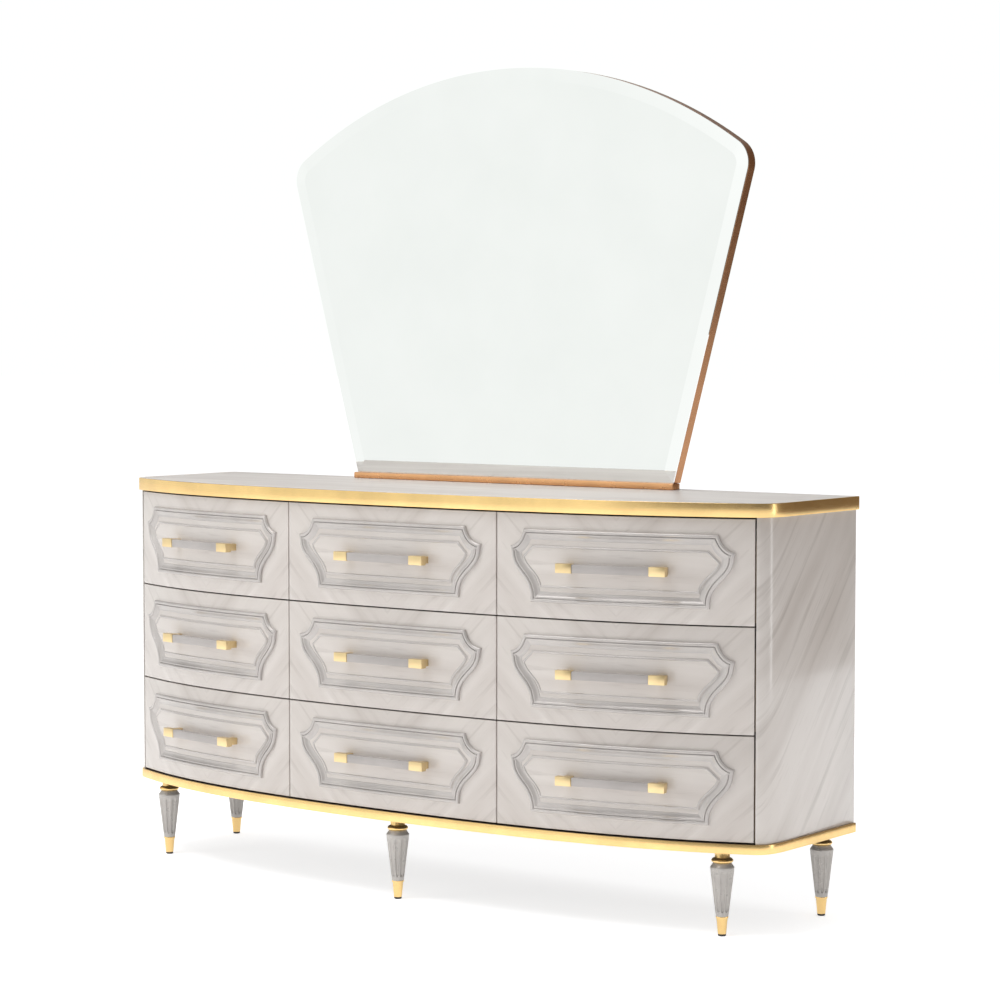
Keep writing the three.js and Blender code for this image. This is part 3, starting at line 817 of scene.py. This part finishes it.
box = {
    "tails": 5,
    "tailLength": 13 * mm,
    "tailHeight": 15 * mm,
    "proud": 0.15 * mm,
    "taper": 0.62,
}


def tailShape():  # one dovetail, seen from the side of the drawer
    w, z, p = box["tailLength"], box["tailHeight"] / 2, box["proud"]
    t = box["taper"]
    side = [(0, -z * t), (w, -z), (w, z), (0, z * t)]
    rings = [[Vector((x, u, v)) for u, v in side] for x in (-p, p)]
    return linked("tail", shapeMesh("tail", *capped(rings)))


def screwShape():  # a domed head with a round recess, facing +Z
    dome = [(3.9 * mm, 0), (3.9 * mm, 0.5 * mm), (3.2 * mm, 1.1 * mm), (1.7 * mm, 1.35 * mm)]
    recess = (1.2 * mm, 0.4 * mm)
    return linked("screw", shapeMesh("screw", *turnedPiece([*dome, recess], 0, 0, 12)))


tail = tailShape()
screw = screwShape()
tailRows = rowTree("dovetails", finish["drawerWood"])
screwRows = rowTree("screws", finish["steel"])


def makeBoxDetail(name, body):
    low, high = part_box(f"{name}_drawer_box")
    count = box["tails"]
    pitch = (high.z - low.z) / count
    rows = []
    for x in (low.x, high.x):
        start = (x, high.y - box["tailLength"], low.z + pitch / 2)
        values = {"Shape": tail, "Count": count, "Start": start, "Step": (0, 0, pitch), "Turn": (0, 0, 0)}
        rows.append(tailRows.grow(values))
    mesh = joinMeshes(f"{name}_dovetails", rows)
    finishMesh(f"{name}_dovetails", mesh, finish["drawerWood"], body, "drawer_wood", (), 30)
    paint(frame["nodes"][f"{name}_drawer_box"].data, finish["drawerWood"])


def makeDrawer(name):
    body = f"{name}_drawer"
    low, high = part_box(f"{name}_drawer_front")
    centre = ((low.x + high.x) / 2, (low.z + high.z) / 2)
    u, v = (high.x - low.x) / 2, (high.z - low.z) / 2
    corners = [(-u, -v), (u, -v), (u, v), (-u, v)]
    board = bowedPlate(name, corners, -face["boardDepth"], 0, centre, 11 * mm)
    args = (finish["chevron"], body, "veneer", (f"{name}_drawer_front",), 30, face["boardRound"], centre)
    finishMesh(f"{name}_front_board", board, *args)
    edge = [tuple(p) for p in insetLoop(plaqueLoop(u), face["groundInset"])]
    ground = bowedPlate(name, edge, -1 * mm, face["groundHeight"], centre)
    finishMesh(f"{name}_ground", ground, finish["field"], body, "veneer", (), 30, 0, centre)
    plate = bowedPlate(name, fieldLoop(), 0, face["fieldHeight"], centre)
    finishMesh(f"{name}_field", plate, finish["field"], body, "veneer", (), 30, 0, centre)
    verts, faces = sweep(plaqueLoop(u), mouldingProfile(), centre)
    makePiece(f"{name}_moulding", verts, faces, finish["moulding"], body, "veneer", (), 50)
    verts, faces = sweep(fieldLoop(), beadProfile(), centre)
    makePiece(f"{name}_bead", verts, faces, finish["moulding"], body, "veneer", (), 50)
    makeHandle(name, body, centre)
    makeBoxDetail(name, body)


for row in rowNames:
    for column in columnNames:
        makeDrawer(f"{row}_{column}")
print("drawers made")


mirror = {
    "base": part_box("top_panel")[1].z,
    "footHalf": 478 * mm,
    "slope": 0.275,
    "height": 1005 * mm,
    "crownRadius": 1167 * mm,
    "cornerRadius": 60 * mm,
    "bevel": 30 * mm,
    "rim": 2.5 * mm,
    "band": 3 * mm,
    "cornerSteps": 20,
    "crownSteps": 60,
    "searchRounds": 40,  # for the centre of the shoulder's arc
}


def mirrorLoop():  # counter-clockwise seen from the front, starting at the left foot
    base, lean = mirror["base"], math.atan(mirror["slope"])
    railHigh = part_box("mirror_rail")[1].z - base
    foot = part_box("mirror_glass")[0].z - base
    reach = mirror["crownRadius"] - mirror["cornerRadius"]
    centreOfCrown = mirror["height"] - mirror["crownRadius"]
    z = mirror["height"] * 0.7
    for _ in range(mirror["searchRounds"]):
        x = mirror["footHalf"] + mirror["slope"] * (z - railHigh) - mirror["cornerRadius"] / math.cos(lean)
        z = centreOfCrown + math.sqrt(reach * reach - x * x)
    crown = math.degrees(math.atan2(z - centreOfCrown, x))
    right = [(mirror["footHalf"] + mirror["slope"] * (foot - railHigh), foot)]
    right += arc(x, z, mirror["cornerRadius"], -math.degrees(lean), crown, mirror["cornerSteps"])
    over = arc(0, centreOfCrown, mirror["crownRadius"], crown, 180 - crown, mirror["crownSteps"])[1:-1]
    loop = right + over + [(-u, v) for u, v in reversed(right)]
    return [(u, v + base) for u, v in loop]


def upright(loop, y):
    return [Vector((p[0], y, p[1])) for p in loop]


def makeMirror():
    loop = mirrorLoop()
    front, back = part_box("mirror_glass")[0].y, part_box("mirror_glass")[1].y
    bevel = mirror["bevel"]
    steps = [(0, back), (0, front + mirror["rim"]), (bevel, front + 0.02 * mm), (bevel + 0.5 * mm, front)]
    verts, faces = capped([upright(insetLoop(loop, d), y) for d, y in steps])
    makePiece("bevelled_glass", verts, faces, finish["mirror"], "case", "mirror", ("mirror_glass",), 1.5)
    low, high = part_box("mirror_frame_band")
    t, r = mirror["band"], 0.7 * mm
    profile = [(t, low.y), (r, low.y), (0, low.y + r), (0, high.y - r), (r, high.y), (t, high.y)]
    verts, faces = tube([upright(insetLoop(loop, d), y) for d, y in profile])
    replaced = ("mirror_frame_band",)
    makePiece("mirror_bronze_band", verts, faces, finish["darkRose"], "case", "rose_bronze", replaced, 40)
    low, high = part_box("mirror_back_board")
    board = insetLoop(loop, t + 0.1 * mm)
    verts, faces = capped([upright(board, low.y), upright(board, high.y)])
    replaced = ("mirror_back_board",)
    makePiece("mirror_backing", verts, faces, finish["carcass"], "case", "carcass_wood", replaced, 40)
    low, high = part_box("mirror_rail")
    rail = blockMesh("rail", [(tuple(low), tuple(high))])
    finishMesh("bronze_rail", rail, finish["rose"], "case", "rose_bronze", ("mirror_rail",), 40, 2.2 * mm)


def makeScrews():
    low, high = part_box("back_panel")
    out = (-math.pi / 2, 0, 0)
    inset, count = 12 * mm, 16
    rows = []
    for z in (low.z + inset, high.z - inset):
        step = (high.x - low.x - 2 * inset) / (count - 1)
        start = (low.x + inset, high.y, z)
        values = {"Shape": screw, "Count": count, "Start": start, "Step": (step, 0, 0), "Turn": out}
        rows.append(screwRows.grow(values))
    mesh = joinMeshes("case_screws", rows)
    finishMesh("case_screws", mesh, finish["steel"], "case", None, (), 30)


makeMirror()
makeScrews()
for shape in (tail, screw):
    bpy.data.objects.remove(shape)
print("mirror made")


stage = {
    "camera": Vector((4.157, -5.359, 1.319)),
    "yaw": 36.866,
    "pitch": -3.347,
    "lens": 102.9,
    "floor": (0.88, 0.88, 0.88),
    "floorGlow": 0.70,
    "floorReach": 60,
    "bright": (1.0, 1.02, 1.005),
    "dim": (0.22, 0.22, 0.225),
    "over": (0.60, 0.60, 0.61),
    "shade": (0.24, 0.235, 0.235),
    "warm": (0.20, 0.16, 0.13),
}


def makeFloor():
    f = Finish("pale_floor")
    tone = f.noise(f.place(), 0.6, 2)
    colour = f.ramp(tone, [(0.3, stage["floor"]), (0.7, tuple(c * 1.02 for c in stage["floor"]))])
    glow = {"Emission Color": (1, 1, 1, 1), "Emission Strength": stage["floorGlow"]}
    coat = f.surface({"Base Color": colour, "Roughness": 0.9, "Specular IOR Level": 0.0, **glow})
    r = stage["floorReach"]
    mesh = shapeMesh("floor", [(-r, -r, 0), (r, -r, 0), (r, r, 0), (-r, r, 0)], [(0, 1, 2, 3)])
    paint(mesh, coat)
    linked("floor", mesh)


def makeWorld():  # a bright horizon, a dim band above it and two darker sides of the room
    g = Graph()
    world = bpy.data.worlds.new("studio")
    world.use_nodes = True
    g.tree = world.node_tree
    parts = g.raw("ShaderNodeSeparateXYZ", {}, {"Vector": g.node("ShaderNodeTexCoord", out="Generated")})
    x, y, z = (Sock(g, parts.outputs[i]) for i in range(3))
    sky = g.tree.nodes["Background"]
    stops = [(0.0, stage["bright"]), (0.20, stage["bright"]), (0.42, stage["dim"]), (0.85, stage["over"])]
    colour = g.ramp(z, stops)
    shades = (
        (x * 0.8 - y * 0.6, 0.25, 0.80, stage["shade"]),  # the front right of the room
        (x * 0.6 + y * 0.8, 0.62, 0.92, stage["warm"]),  # the rear right of the room
    )
    for share, low, high, tint in shades:
        colour = g.blend(g.spread(share, low, high), colour, tint)
    g.tree.links.new(colour.socket, sky.inputs["Color"])
    sky.inputs["Strength"].default_value = 1.0
    bpy.context.scene.world = world


def addLight(name, place, target, size, power, tall=None, reflected=True):
    data = bpy.data.lights.new(name, "AREA")
    data.energy = power
    data.shape = "RECTANGLE"
    data.size = size
    data.size_y = tall or size
    lamp = linked(name, data)
    lamp.location = place
    lamp.visible_glossy = reflected
    lamp.rotation_euler = (Vector(target) - Vector(place)).to_track_quat("-Z", "Y").to_euler()


def addCard(name, centre, size, colour, edge):  # an upright card that only shows in reflections
    f = Finish(name)
    far = f.node("ShaderNodeVectorMath", {"operation": "DISTANCE"}, {0: f.place(), 1: centre}, out="Value")
    tint = f.blend(f.spread(far, size[0] * 0.22, size[0] * 0.34), colour, edge)
    glow = {"Emission Color": tint, "Emission Strength": 1.0}
    coat = f.surface({"Base Color": (0, 0, 0, 1), "Roughness": 1.0, "Specular IOR Level": 0.0, **glow})
    across = Vector((centre[1], -centre[0], 0)).normalized() * (size[0] / 2)
    up = Vector((0, 0, size[1] / 2))
    mid = Vector(centre)
    corners = [mid - across - up, mid + across - up, mid + across + up, mid - across + up]
    mesh = shapeMesh(name, corners, [(0, 1, 2, 3)])
    paint(mesh, coat)
    card = linked(name, mesh)
    card.visible_camera = card.visible_diffuse = card.visible_shadow = False


def makeCamera():
    data = bpy.data.cameras.new("camera")
    data.lens = stage["lens"]
    data.sensor_width = 36
    data.clip_end = 200
    camera = linked("camera", data)
    camera.location = stage["camera"]
    camera.rotation_euler = (math.radians(90 + stage["pitch"]), 0, math.radians(stage["yaw"]))
    bpy.context.scene.camera = camera


makeFloor()
makeWorld()
addLight("overhead", (-0.5, -1.5, 4.3), (0, -0.1, 0.5), 2.6, 92)
addLight("key", (-3.2, -4.2, 2.6), (0, 0, 0.6), 2.0, 26, reflected=False)
addLight("corner", (4.6, 1.4, 0.9), (0.9, -0.1, 0.6), 0.45, 12, 2.6)
addCard("paleCard", (-3.9, -5.0, 1.6), (8.0, 9.0), (1.0, 1.02, 1.0), (1.16, 1.17, 1.16))
addCard("brownCard", (3.5, 3.5, 1.0), (5.0, 5.0), (0.20, 0.155, 0.125), (0.22, 0.18, 0.15))
makeCamera()
bpy.context.scene.view_settings.view_transform = "Standard"
print("stage made")
